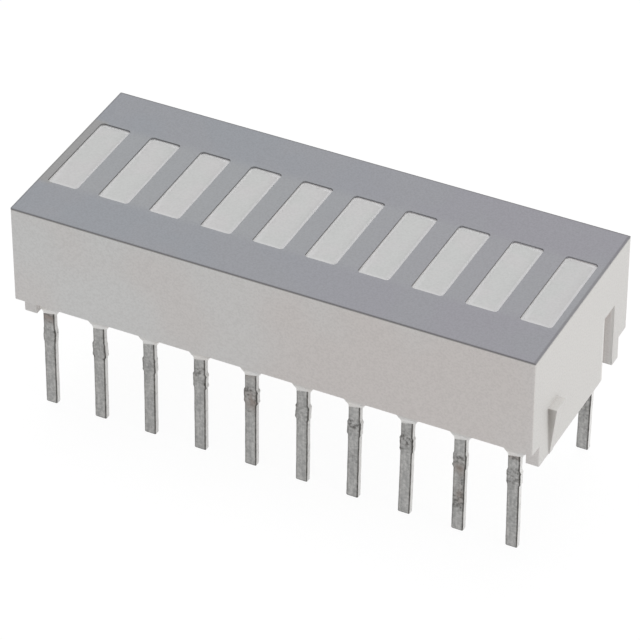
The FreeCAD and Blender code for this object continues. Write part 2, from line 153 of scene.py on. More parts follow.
class Tree:
    """The nodes of one material, or of the world, with short ways to add them."""

    def __init__(self, name: str, world: bool = False) -> None:
        """Start an empty material or world."""
        self.owner = (bpy.data.worlds if world else bpy.data.materials).new(name)
        self.owner.use_nodes = True
        self.nodes = self.owner.node_tree.nodes
        self.nodes.clear()

    @cached_property
    def place(self) -> bpy.types.NodeSocket:
        """Where a point is on its object."""
        return self.node("ShaderNodeTexCoord", {}).outputs["Object"]

    def node(self, kind: str, inputs: dict, **settings: str) -> bpy.types.Node:
        """Add a node of any type.

        Args:
            kind: The node's type.
            inputs: Its sockets, by name or number, as values or links.
            settings: Its own settings, which are set first.

        Returns:
            The node.
        """
        node = self.nodes.new(kind)
        for key, value in settings.items():
            setattr(node, key, value)
        for key, value in inputs.items():
            source = value.socket if isinstance(value, Number) else value
            if isinstance(source, bpy.types.NodeSocket):
                self.owner.node_tree.links.new(source, node.inputs[key])
            else:
                node.inputs[key].default_value = source
        return node

    def number(self, kind: str, inputs: dict, output: Union[str, int] = 0, **settings: str) -> Number:
        """Add a node and take one of its outputs as a number."""
        return Number(self, self.node(kind, inputs, **settings).outputs[output])

    def axes(self) -> tuple[Number, Number, Number]:
        """The place on the object along X, Y and Z, in metres."""
        split = self.node("ShaderNodeSeparateXYZ", {"Vector": self.place})
        return tuple(Number(self, split.outputs[axis]) for axis in "XYZ")

    def painted(self, name: str) -> Number:
        """A number that the mesh carries at its points."""
        return self.number("ShaderNodeAttribute", {}, "Fac", attribute_name=name)

    def rays(self, *kinds: str) -> Number:
        """1 for what the camera sees itself or by rays of these kinds, and 0 for the rest."""
        path = self.node("ShaderNodeLightPath", {})
        seen = Number(self, path.outputs["Is Camera Ray"])
        for kind in kinds:
            seen = seen.math("MAXIMUM", Number(self, path.outputs[f"Is {kind} Ray"]))
        return seen

    def noise(self, size: float, detail: float, stretch: tuple = (1, 1, 1), roughness: float = 0.5) -> Number:
        """Smooth noise round 0.5 that follows the object.

        Args:
            size: The width of its blotches in metres.
            detail: How many finer layers it has.
            stretch: How much longer the blotches are along each axis.
            roughness: How strong the finer layers are.

        Returns:
            The noise.
        """
        scale = tuple(1 / (size * part) for part in stretch)
        mapped = self.node("ShaderNodeMapping", {"Vector": self.place, "Scale": scale})
        inputs = {"Vector": mapped.outputs[0], "Scale": 1.0, "Detail": detail, "Roughness": roughness}
        return self.number("ShaderNodeTexNoise", inputs, "Fac")

    def layers(self, base: Colour, *coats: tuple[Scalar, Colour]) -> bpy.types.NodeSocket:
        """Lay colours over a base one after the other.

        Args:
            base: The colour at the bottom.
            coats: Each further colour, after how much it covers, from 0 to 1.

        Returns:
            The mixed colour.
        """
        mixed = (*base, 1.0)
        for amount, colour in coats:
            inputs = {0: amount, 6: mixed, 7: (*colour, 1.0)}
            mixed = self.node("ShaderNodeMix", inputs, data_type="RGBA").outputs[2]
        return mixed

    def bump(self, height: Number, depth: float) -> bpy.types.NodeSocket:
        """Turn a height from 0 to 1 into a normal, with the depth in metres."""
        return self.node("ShaderNodeBump", {"Height": height, "Distance": depth}).outputs[0]

    def surface(self, inputs: dict) -> bpy.types.Material:
        """Finish the material with one principled surface."""
        return self.close(self.node("ShaderNodeBsdfPrincipled", inputs).outputs[0])

    def close(self, shader: bpy.types.NodeSocket) -> bpy.types.Material:
        """Finish the material with any shader."""
        self.node("ShaderNodeOutputMaterial", {"Surface": shader})
        return self.owner


# ---- Finishes ----


@dataclass(frozen=True)
class WhitePlastic:
    """The moulded housing: warm white, with faint mottling, satin grain and dark specks, painted shade by the keys
    and in the slots, and painted highlight at the slots' edges.

    The places of the key and the slot are those of the right end. The left end is the same, turned round.
    """

    half_length: float
    cool: Colour = from_screen(241, 241, 240)
    warm: Colour = from_screen(240, 234, 231)
    end: Colour = from_screen(234, 232, 229)
    # The colour of the painted highlight in the slots.
    lit: Colour = from_screen(254, 252, 249)
    # The colour of the dark specks and of the painted shade.
    dirt_and_shade: Colour = from_screen(120, 112, 105)
    key_middle: float = 3.08 * MM
    key_half_foot: float = 0.175 * MM
    key_slope: float = 0.12
    key_top: float = 2.7 * MM
    # Where the painted shade on the keys' flanks and beside their feet lies, and how strong it is.
    key_fade: Span = span(-0.05, 0.02)
    flank_root: Span = span(0.004, 0.03)
    flank_outside: Span = span(0.02, 0.05)
    flank_inside: Span = span(-0.05, -0.01)
    flank_shade_fade: Span = span(0.08, 0.36)
    flank_low: float = 0.3 * MM
    low_share: float = 0.4
    flank_shade: float = 0.62
    shade_fade: float = 0.3
    foot_root: Span = span(-0.01, -0.004)
    foot_reach: Span = span(0.0, 0.2)
    foot_start: Span = span(-0.03, 0.0)
    foot_shade: float = 0.22
    slot_near: float = 2.505 * MM
    slot_far: float = 3.655 * MM
    slot_top: float = 3.32 * MM
    slot_floor: Span = span(-0.6, -0.55)
    slot_mouth: Span = span(-0.012, -0.006)
    slot_deep_shade: Span = span(-0.32, -0.2)
    slot_corner: Span = span(-0.42, -0.38)
    slot_highlight: Span = span(-0.24, -0.12)
    slot_edge: Span = span(-0.2, -0.08)
    slot_shade: float = 0.14
    edge_share: float = 0.8
    seam: float = 0.01 * MM
    end_fade: float = 0.03 * MM
    warm_part: Span = (-0.8, 0.4)

    def marks(self, turned: Number, out: Number, up: Number) -> tuple[Number, Number, Number]:
        """The painted shade and light: painted shade beside the keys and deep inside the slots, and painted
        highlight towards the slots' mouths and at their edges.

        Args:
            turned: The place along Y, with its sign changed at the left end.
            out: How far the place is outside the end face.
            up: The place along Z.

        Returns:
            The shares of painted shade by the keys, of painted shade in the slots and of painted highlight.
        """
        # Painted shade on the keys' flanks, lighter towards their outer edges, and on the end face beside their
        # feet.
        beside = abs(turned + self.key_middle) - (up * self.key_slope + self.key_half_foot)
        rise = self.low_share + up.above(self.flank_low, self.key_top, most=1 - self.low_share)
        flank = out.above(*self.flank_root) * beside.below(*self.flank_outside) * beside.above(*self.flank_inside)
        flank = flank * rise * (self.flank_shade - out.above(*self.flank_shade_fade, most=self.shade_fade))
        foot = out.above(*self.foot_root) * beside.below(*self.foot_reach) * beside.above(*self.foot_start)
        dirt_and_shade = flank.math("MAXIMUM", foot * self.foot_shade) * up.below(*self.key_fade, at=self.key_top)

        # Painted shade deep in the slots, and painted highlight towards their mouths and along their near edges.
        low = up.below(0.0, self.seam, at=self.slot_top)
        before, after = (-2 * self.seam, -self.seam), (self.seam, 2 * self.seam)
        wall = turned.above(*before, at=self.slot_far) * turned.below(*after, at=self.slot_far) * low
        wall = wall * out.above(*self.slot_floor) * out.below(*self.slot_mouth)
        dark = self.slot_shade * (out.below(*self.slot_deep_shade) + out.below(*self.slot_corner))
        edge = turned.above(*self.slot_edge, at=self.slot_near) * turned.below(*after, at=self.slot_near)
        edge = edge * out.above(*before) * low
        return dirt_and_shade, wall * dark, (wall * out.above(*self.slot_highlight)).math("MAXIMUM", edge * self.edge_share)

    def make(self) -> bpy.types.Material:
        """Build the material."""
        tree = Tree("white_plastic")
        along, across, up = tree.axes()
        turned, out = across * along.math("SIGN"), abs(along) - self.half_length
        mottle = tree.noise(size=6 * MM, detail=1.5).above(0.4, 0.6)
        warmth = (along * (1 / self.half_length)).above(*self.warm_part)
        end = abs(along).above(-self.end_fade, 0.0, at=self.half_length)
        speck = tree.noise(size=0.09 * MM, detail=3)
        # Painted shade by the keys and in the slots, and painted highlight in the slots.
        dirt_and_shade, dark, light = self.marks(turned, out, up)
        colour = tree.layers(self.cool, ((mottle + warmth) * 0.5, self.warm), (end, self.end),
                             (speck.above(*SPECK_PART, most=0.1), self.dirt_and_shade), (dirt_and_shade, self.dirt_and_shade),
                             (light, self.lit), (dark, self.dirt_and_shade))
        grain = tree.noise(size=0.06 * MM, detail=3)
        return tree.surface({"Base Color": colour, "Roughness": speck.around(0.55, 0.1),
                             "Specular IOR Level": 0.35, "Normal": tree.bump(grain, depth=0.0015 * MM)})


@dataclass(frozen=True)
class GreyInk:
    """The grey coat: flat grey with a faint drift of tint, with painted shade on the windows' walls and along its
    outer rims, where the ink's own edge is darker too.
    """

    half_length: float
    half_width: float
    top: float
    blue: Colour = from_screen(161, 164, 170)
    plain: Colour = from_screen(164, 165, 170)
    violet: Colour = from_screen(163, 162, 169)
    bare: Colour = from_screen(166, 166, 166)
    pale: Colour = from_screen(172, 174, 176)
    # The colour of the dark specks and of the painted shade at the edges.
    edge: Colour = from_screen(84, 80, 79)
    plastic: Colour = from_screen(234, 232, 229)
    sunk: Span = span(0.002, 0.012)
    outer: Span = span(-0.02, -0.01)
    plastic_from: Span = span(0.02, 0.055)
    window_end: float = 2.54 * MM
    far_wall: Span = span(-0.25, -0.1)
    right_part: Span = (-0.6, 0.9)
    wall_dark: float = 0.72
    far_paler: float = 0.3
    right_paler: float = 0.3
    rim: Span = span(-0.085, -0.02125)
    right_rim: Span = span(-0.15, -0.09)
    left_dark: float = 0.4
    right_dark: float = 0.32
    side_dark: float = 0.5
    tint_part: Span = (-0.5, 0.7)
    strip: Span = span(-0.78, -0.62)
    strip_side: Span = span(2.5, 2.8)
    between_side: Span = span(2.1, 2.9)
    between_share: float = 0.65
    between_less: float = 0.25

    def shade(self, along: Number, across: Number, up: Number) -> tuple[Number, Number]:
        """How much painted shade darkens the coat at its edges, with the ink's own darker edge at its outer rims,
        and where the plastic under it shows at its outer sides.

        Args:
            along: The place along X.
            across: The place along Y.
            up: The place along Z.

        Returns:
            The painted shade and the share of bare plastic.
        """
        sunk, past_side = self.top - up, abs(across) - self.half_width
        wall = sunk.above(*self.sunk)
        end = (abs(along) - self.half_length).above(*self.outer)
        low_side = past_side.above(*self.outer) * sunk.above(*self.plastic_from)
        right_side = (along * (1 / self.half_length)).above(*self.right_part, most=self.right_paler)
        paler = across.above(*self.far_wall, at=self.window_end) * (self.far_paler + right_side)
        # Painted shade on the windows' walls, paler at the far walls and towards the right.
        dark = wall * (1 - end) * (1 - low_side) * (self.wall_dark - paler)
        # Painted shade along the coat's outer rims, with the ink's own darker edge.
        for rim in ((along * -1).above(*self.rim, at=self.half_length, most=self.left_dark),
                    along.above(*self.right_rim, at=self.half_length, most=self.right_dark),
                    past_side.above(*self.rim, most=self.side_dark)):
            dark = dark.math("MAXIMUM", rim)
        return dark, wall * end.math("MAXIMUM", low_side)

    def make(self) -> bpy.types.Material:
        """Build the material. The coat is thinner in a strip at the left end and paler between the windows."""
        tree = Tree("grey_ink")
        along, across, up = tree.axes()
        drift = tree.noise(size=3.5 * MM, detail=2).above(0.42, 0.6)
        tint = (along * (1 / self.half_length)).above(*self.tint_part)
        strip = (along * -1).above(*self.strip, at=self.half_length) * abs(across).below(*self.strip_side)
        between = abs(across).below(*self.between_side) * (self.between_share - self.between_less * tint)
        speck = tree.noise(size=0.08 * MM, detail=3).above(*SPECK_PART, most=0.14)
        # The painted shade at the coat's edges, and the bare plastic at its outer sides.
        dark, plastic = self.shade(along, across, up)
        colour = tree.layers(self.blue, (tint, self.violet), (drift * 0.6, self.plain), (strip, self.bare),
                             (between * (1 - strip), self.pale), (speck, self.edge), (plastic, self.plastic),
                             (dark, self.edge))
        grain = tree.noise(size=0.05 * MM, detail=2)
        return tree.surface({"Base Color": colour, "Roughness": drift.around(0.6, 0.08),
                             "Specular IOR Level": 0.3, "Normal": tree.bump(grain, depth=0.0012 * MM)})


@dataclass(frozen=True)
class MilkyCasting:
    """The diffused casting in the windows and round the leads."""

    name: str
    body: Colour
    warm: Colour
    # The pale rim at the windows' edges: partly the housing's plastic, partly painted highlight.
    rim: Colour = from_screen(244, 243, 245)
    shade: Colour = from_screen(120, 118, 116)
    roughness: float = 0.35
    # A painted glow in the fillets round the leads, as emission, though the resin is no lamp.
    glow: float = 0.0
    glow_high: Span = span(0.18, 0.28)
    glow_low: Span = span(0.03, 0.13)
    high_share: float = 0.3

    def make(self) -> bpy.types.Material:
        """Build the material.

        The window faces carry how near each point is to the window's edge, for a pale rim that is partly painted
        highlight. Where the resin ends in slender fillets round the leads, a painted glow lights it, most at their
        lower rim.
        """
        tree = Tree(self.name)
        cloud = tree.noise(size=1.4 * MM, detail=2.5).above(0.38, 0.64)
        speck = tree.noise(size=0.09 * MM, detail=3).above(*SPECK_PART, most=0.09)
        colour = tree.layers(self.body, (cloud, self.warm), (speck, self.shade), (tree.painted("rim"), self.rim))
        grain = tree.noise(size=0.12 * MM, detail=2)
        inputs = {"Base Color": colour, "Roughness": cloud.around(self.roughness, 0.1),
                  "Specular IOR Level": 0.4, "Normal": tree.bump(grain, depth=0.001 * MM)}
        # Painted glow, most at the fillets' lower rim.
        if self.glow:
            up = tree.axes()[2]
            painted_glow = up.below(*self.glow_high, most=self.high_share)
            painted_glow = painted_glow + up.below(*self.glow_low, most=1 - self.high_share)
            inputs["Emission Color"] = tree.layers((0.0, 0.0, 0.0), (painted_glow, (1.0, 1.0, 1.0)))
            inputs["Emission Strength"] = self.glow
        return tree.surface(inputs)


@dataclass(frozen=True)
class TinPlate:
    """Tin plate on the leads: dull grey metal with drawn streaks and brown stains, sheared sides painted brighter
    as lit, and painted shade in a dark line along the front face's edges.
    """

    tip: float
    bright: Colour = from_screen(196, 195, 193)
    dull: Colour = from_screen(147, 147, 146)
    # The colour of the scuffs, the darker tips and the painted shade along the edges.
    dark: Colour = from_screen(78, 75, 72)
    brown: Colour = from_screen(140, 128, 121)
    # The sides' colour: their sheared finish, painted brighter as lit.
    sheared_and_lit: Colour = from_screen(246, 245, 243)
    streak_share: float = 0.5
    scuff_share: float = 0.75
    side: Span = (0.965, 0.995)
    side_gaps: Span = (0.55, 0.7)
    line_start: Span = (0.68, 0.8)
    line_end: Span = (0.96, 0.99)
    line_right: Span = (-0.1, 0.1)
    line_left_share: float = 0.3
    line_right_more: float = 0.65
    line_gaps: Span = (0.4, 0.6)
    line_less: float = 0.25
    end: Span = span(0.01, 0.05)
    metallic: float = 0.8
    side_metallic: float = 0.2
    scuff_roughness: float = 0.2

    def make(self) -> bpy.types.Material:
        """Build the material. The leads carry where a point is across them, and where they are worn."""
        tree = Tree("tin_plate")
        across = tree.painted("across")
        streak = tree.noise(size=0.1 * MM, detail=4, stretch=(1, 1, 7)).above(0.3, 0.7)
        blotch = tree.noise(size=0.13 * MM, detail=3, roughness=0.6).above(0.4, 0.62, most=0.4)
        stain = tree.noise(size=0.3 * MM, detail=3).above(0.2, 0.6, most=0.8) * tree.painted("stain")
        scuff = tree.noise(size=0.17 * MM, detail=3, roughness=0.6).above(0.4, 0.68) * tree.painted("scuff")
        # The sides, partly their sheared finish and partly painted light, paler and less metallic.
        side = abs(across).above(*self.side)
        gaps = tree.noise(size=0.25 * MM, detail=4, roughness=0.65)
        # Painted shade in a dark line along the front face's edges, stronger at the right, broken in places.
        line = abs(across).above(*self.line_start) * abs(across).below(*self.line_end)
        line = line * (self.line_left_share + across.above(*self.line_right, most=self.line_right_more))
        line = line * (1 - self.line_less + gaps.above(*self.line_gaps, most=self.line_less))
        end = tree.axes()[2].below(*self.end, at=self.tip, most=0.6)
        colour = tree.layers(self.dull, (streak * self.streak_share + blotch, self.bright), (stain, self.brown),
                             (scuff * self.scuff_share, self.dark),
                             (side * (1 - gaps.above(*self.side_gaps, most=0.5)), self.sheared_and_lit),
                             (line.math("MAXIMUM", end), self.dark))
        bumps = tree.noise(size=0.16 * MM, detail=4, roughness=0.6)
        return tree.surface({"Base Color": colour,
                             "Metallic": self.metallic - (self.metallic - self.side_metallic) * side,
                             "Roughness": streak.around(0.42, 0.15) + scuff * self.scuff_roughness,
                             "Normal": tree.bump(bumps, depth=0.008 * MM)})


@dataclass(frozen=True)
class PlainFinish:
    """A small inner piece: one colour with a fine variation."""

    name: str
    colour: Colour
    other: Colour
    metallic: float
    roughness: float

    def make(self) -> bpy.types.Material:
        """Build the material."""
        tree = Tree(self.name)
        cloud = tree.noise(size=0.05 * MM, detail=3)
        return tree.surface({"Base Color": tree.layers(self.colour, (cloud, self.other)),
                             "Metallic": self.metallic, "Roughness": cloud.around(self.roughness, 0.1)})


# ---- Mesh helpers ----


def mesh_object(name: str, points: np.ndarray, faces: list, painted: dict[str, np.ndarray]) -> bpy.types.Object:
    """Make a piece from arrays.

    Args:
        name: The piece's name.
        points: Its points, one row of X, Y and Z each.
        faces: The point numbers of each face.
        painted: Numbers that the material reads, one for each point.

    Returns:
        The object, in the scene.
    """
    mesh = bpy.data.meshes.new(name)
    mesh.from_pydata(points.tolist(), [], faces)
    for key, values in painted.items():
        mesh.attributes.new(key, "FLOAT", "POINT").data.foreach_set("value", values.astype(np.float32))
    mesh.polygons.foreach_set("use_smooth", np.ones(len(mesh.polygons), bool))
    mesh.update()
    obj = bpy.data.objects.new(name, mesh)
    bpy.context.scene.collection.objects.link(obj)
    return obj


def tube_faces(rings: int, sides: int) -> list[list[int]]:
    """The faces of a closed tube, a grid of rings with a flat face at either end, as point numbers.

    Args:
        rings: How many rings the points lie in, one after the other.
        sides: How many points each ring has.

    Returns:
        The faces, facing out when the rings run anticlockwise seen from the last ring. The last two are
        the flat ones, the first ring's before the last ring's.
    """
    ring, side = np.meshgrid(np.arange(rings - 1), np.arange(sides), indexing="ij")
    following = (side + 1) % sides
    quads = np.stack([ring * sides + side, ring * sides + following,
                      (ring + 1) * sides + following, (ring + 1) * sides + side], axis=-1)
    last = (rings - 1) * sides
    return quads.reshape(-1, 4).tolist() + [list(range(sides - 1, -1, -1)), list(range(last, last + sides))]


def rounded_outline(half_x: np.ndarray, half_y: np.ndarray, radius: np.ndarray, corner: int,
                    flat: int) -> np.ndarray:
    """Points round rectangles with round corners, anticlockwise.

    Each corner is a quarter circle about (half - radius), and the flats between the corners are divided
    evenly, so a point is centre + radius * (cos, sin) or a weighted mean of two corner ends.

    Args:
        half_x: Half the length of each rectangle.
        half_y: Half the width of each rectangle.
        radius: The corner radius of each rectangle.
        corner: Points in each quarter circle.
        flat: Points between two corners.

    Returns:
        An array of rectangles, points, and X and Y.
    """
    turns = np.linspace(0, np.pi / 2, corner)
    pieces = []
    for quarter, (sign_x, sign_y) in enumerate(((1, 1), (-1, 1), (-1, -1), (1, -1))):
        angle = turns + quarter * np.pi / 2
        centre = np.stack([sign_x * (half_x - radius), sign_y * (half_y - radius)], axis=-1)
        circle = np.stack([np.cos(angle), np.sin(angle)], axis=-1)
        pieces.append(centre[:, None, :] + radius[:, None, None] * circle[None])
    weights = np.linspace(0, 1, flat + 2)[1:-1][None, :, None]
    joined = []
    for quarter in range(4):
        here, after = pieces[quarter], pieces[(quarter + 1) % 4]
        joined += [here, here[:, -1:] * (1 - weights) + after[:, :1] * weights]
    return np.concatenate(joined, axis=1)


def smooth_step(values: np.ndarray, start: float, end: float) -> np.ndarray:
    """A smooth ramp from 0 at the start value to 1 at the end value, 3 t^2 - 2 t^3."""
    ramp = np.clip((values - start) / (end - start), 0, 1)
    return ramp * ramp * (3 - 2 * ramp)


def wander(chance: np.random.Generator, count: int, spacing: float) -> np.ndarray:
    """A smooth random line from -1 to 1: random heights at even stops, joined by cosine steps.

    Args:
        chance: The seeded source.
        count: How many places the line has.
        spacing: How many places lie from stop to stop.

    Returns:
        The height at each place.
    """
    steps = np.arange(count) / spacing
    stops = chance.uniform(-1, 1, int(steps.max()) + 2)
    low = np.floor(steps).astype(int)
    part = (1 - np.cos((steps - low) * np.pi)) / 2
    return stops[low] * (1 - part) + stops[low + 1] * part


# ---- Sub-assemblies ----


@dataclass
class Housing:
    """The white moulding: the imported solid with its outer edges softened."""

    edge: float = 0.035 * MM
    key_edge: float = 0.05 * MM
    key_flank_edge: float = 0.012 * MM
    outside: float = 0.08 * MM
    foot_from: float = 3.7 * MM
    flat_angle: float = 0.01
    crease: float = 0.5

    def build(self) -> bpy.types.Object:
        """Copy the solid, join its loose triangles and give it rounded edges."""
        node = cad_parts["housing"]
        shape = bmesh.new()
        shape.from_mesh(node.data)
        bmesh.ops.remove_doubles(shape, verts=shape.verts, dist=1e-7)
        bmesh.ops.dissolve_limit(shape, angle_limit=self.flat_angle, verts=shape.verts, edges=shape.edges)
        low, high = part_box("housing")
        weights = shape.edges.layers.float.new("bevel_weight_edge")
        widest = max(self.edge, self.key_edge)
        for edge in shape.edges:
            edge[weights] = self.width(edge, low, high) / widest
            edge.smooth = edge[weights] > 0 or edge.calc_face_angle(0) < self.crease
        mesh = bpy.data.meshes.new("white_housing")
        shape.to_mesh(mesh)
        shape.free()
        mesh.polygons.foreach_set("use_smooth", np.ones(len(mesh.polygons), bool))
        obj = bpy.data.objects.new("white_housing", mesh)
        bpy.context.scene.collection.objects.link(obj)
        bevel = obj.modifiers.new("soft_edges", "BEVEL")
        bevel.limit_method = "WEIGHT"
        bevel.width = widest
        bevel.segments = 3
        bevel.use_clamp_overlap = False
        bevel.harden_normals = True
        return obj

    def width(self, edge: bmesh.types.BMEdge, low: Vector, high: Vector) -> float:
        """How wide an edge is rounded, from where it lies.

        Args:
            edge: The edge.
            low: The housing's lowest corner.
            high: The housing's highest corner.

        Returns:
            The width in metres, 0 where the edge stays sharp.
        """
        bottom, top = sorted(vert.co.z for vert in edge.verts)
        if edge.calc_face_angle(0) < self.crease or not edge.is_convex or bottom > high.z - TOLERANCE:
            return 0.0
        middle = (edge.verts[0].co + edge.verts[1].co) / 2
        half_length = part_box("face_coat")[1].x
        if top < low.z + TOLERANCE:
            return self.edge if abs(middle.y) > self.foot_from else 0.0
        if abs(middle.x) > half_length + TOLERANCE:
            return self.key_edge if bottom > low.z + TOLERANCE else self.key_flank_edge
        outside = abs(middle.x) > half_length - self.outside or abs(middle.y) > high.y - self.outside
        return self.edge if outside else 0.0

    def dress(self) -> bpy.types.Object:
        """Build the piece, paint it and let it stand for the solid."""
        obj = self.build()
        obj.data.materials.append(WhitePlastic(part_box("face_coat")[1].x).make())
        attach(obj, BODY)
        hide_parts("housing")
        return obj


@dataclass
class WindowFaces:
    """The casting's surface in each window: flat, with a fine raised edge where it wets the housing."""

    count: int = 10
    pitch: float = 2.54 * MM
    length: float = 5.08 * MM
    width: float = 1.52 * MM
    radius: float = 0.17 * MM
    skirt: float = 0.004 * MM
    climb: float = 0.006 * MM
    reach: float = 0.16 * MM
    flat_from: float = 0.34 * MM
    least_radius: float = 0.01 * MM
    rings: int = 12
    crowding: float = 1.4
    narrow_rim: Span = span(0.04, 0.12)
    right_rim: Span = span(0.12, 0.2)
    near_rim: Span = span(0.2, 0.32)
    right_part: Span = (0.55, 0.75)
    near_part: Span = (0.83, 0.9)
    narrow_share: float = 0.45
    right_share: float = 0.6
    near_share: float = 0.25
    near_less: float = 0.5

    def build(self, index: int, level: float) -> bpy.types.Object:
        """One window's face.

        Ring k is the window's outline moved in by d = flat_from * (k / (rings - 1)) ^ crowding, and stands at
        level + climb * (1 - d / reach) ^ 3 up to the reach, so the edge curls up to the wall. One more ring
        under the first is the skirt. The middle is one flat face, and the underside another.

        Args:
            index: Which window, from 0 at the left.
            level: How high the casting stands.

        Returns:
            The piece.
        """
        inset = np.concatenate([[0.0], np.linspace(0, 1, self.rings) ** self.crowding * self.flat_from])
        outline = rounded_outline(self.width / 2 - inset, self.length / 2 - inset,
                                  np.maximum(self.radius - inset, self.least_radius), corner=9, flat=2)
        height = level + self.climb * np.maximum(1 - inset / self.reach, 0) ** 3 + self.skirt
        height[0] = level
        sides = outline.shape[1]
        centre = (index - (self.count - 1) / 2) * self.pitch
        points = np.dstack([outline[..., 0] + centre, outline[..., 1],
                            np.repeat(height[:, None], sides, axis=1)]).reshape(-1, 3)
        obj = mesh_object(f"window_face_{index + 1:02d}", points, tube_faces(len(inset), sides),
                          {"rim": self.rim(outline, inset)})
        for flat in obj.data.polygons[-2:]:
            flat.use_smooth = False
        return obj

    def rim(self, outline: np.ndarray, inset: np.ndarray) -> np.ndarray:
        """How pale the casting is near its edge: a narrow rim all round, partly the housing's plastic and partly
        painted highlight, and a broader painted highlight at the right and the front.

        Args:
            outline: The rings, as X and Y from the window's middle.
            inset: How far each ring is moved in.

        Returns:
            One number for each point.
        """
        narrow, right, near = (1 - smooth_step(inset, *rim)[:, None]
                               for rim in (self.narrow_rim, self.right_rim, self.near_rim))
        # The broader painted highlight at the right and the front.
        on_right = smooth_step(outline[..., 0] / (self.width / 2), *self.right_part)
        on_near = smooth_step(-outline[..., 1] / (self.length / 2), *self.near_part)
        narrow = self.narrow_share * narrow * (1 - self.near_less * on_near)
        broad = np.maximum(self.right_share * right * on_right, self.near_share * near * on_near)
        return np.maximum(narrow, broad).ravel()

    def dress(self) -> list[bpy.types.Object]:
        """Build every window's face on the casting."""
        finish = MilkyCasting("window_casting", from_screen(211, 212, 211), from_screen(212, 211, 211)).make()
        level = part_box("epoxy_fill")[1].z
        pieces = [self.build(index, level) for index in range(self.count)]
        for piece in pieces:
            piece.data.materials.append(finish)
            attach(piece, BODY)
        return pieces


class Row(Enum):
    """The two lead rows, by the way their arms point."""

    FRONT = 1
    REAR = -1


@dataclass(frozen=True)
class Mark:
    """A soft-edged mark on a lead: where, how far it reaches and how strong it is."""

    height: float
    reach: float
    strength: float = 1.0
    side: float = 0.0
    width: float = 10.0

    def cover(self, side: np.ndarray, up: np.ndarray) -> np.ndarray:
        """How strong the mark is at each point, strength * exp(-(dz / reach)^2 - (dx / width)^2)."""
        away = ((up - self.height * MM) / (self.reach * MM)) ** 2 + ((side - self.side) / self.width) ** 2
        return self.strength * np.exp(-away)


@dataclass(frozen=True)
class LeadWear:
    """What sets one lead apart: its lean, how swollen its stubs are, and its marks."""

    lean: float = -0.05 * MM
    swell: float = 1.0
    stains: tuple[Mark, ...] = ()
    scuffs: tuple[Mark, ...] = ()
    blob: float = 0.0


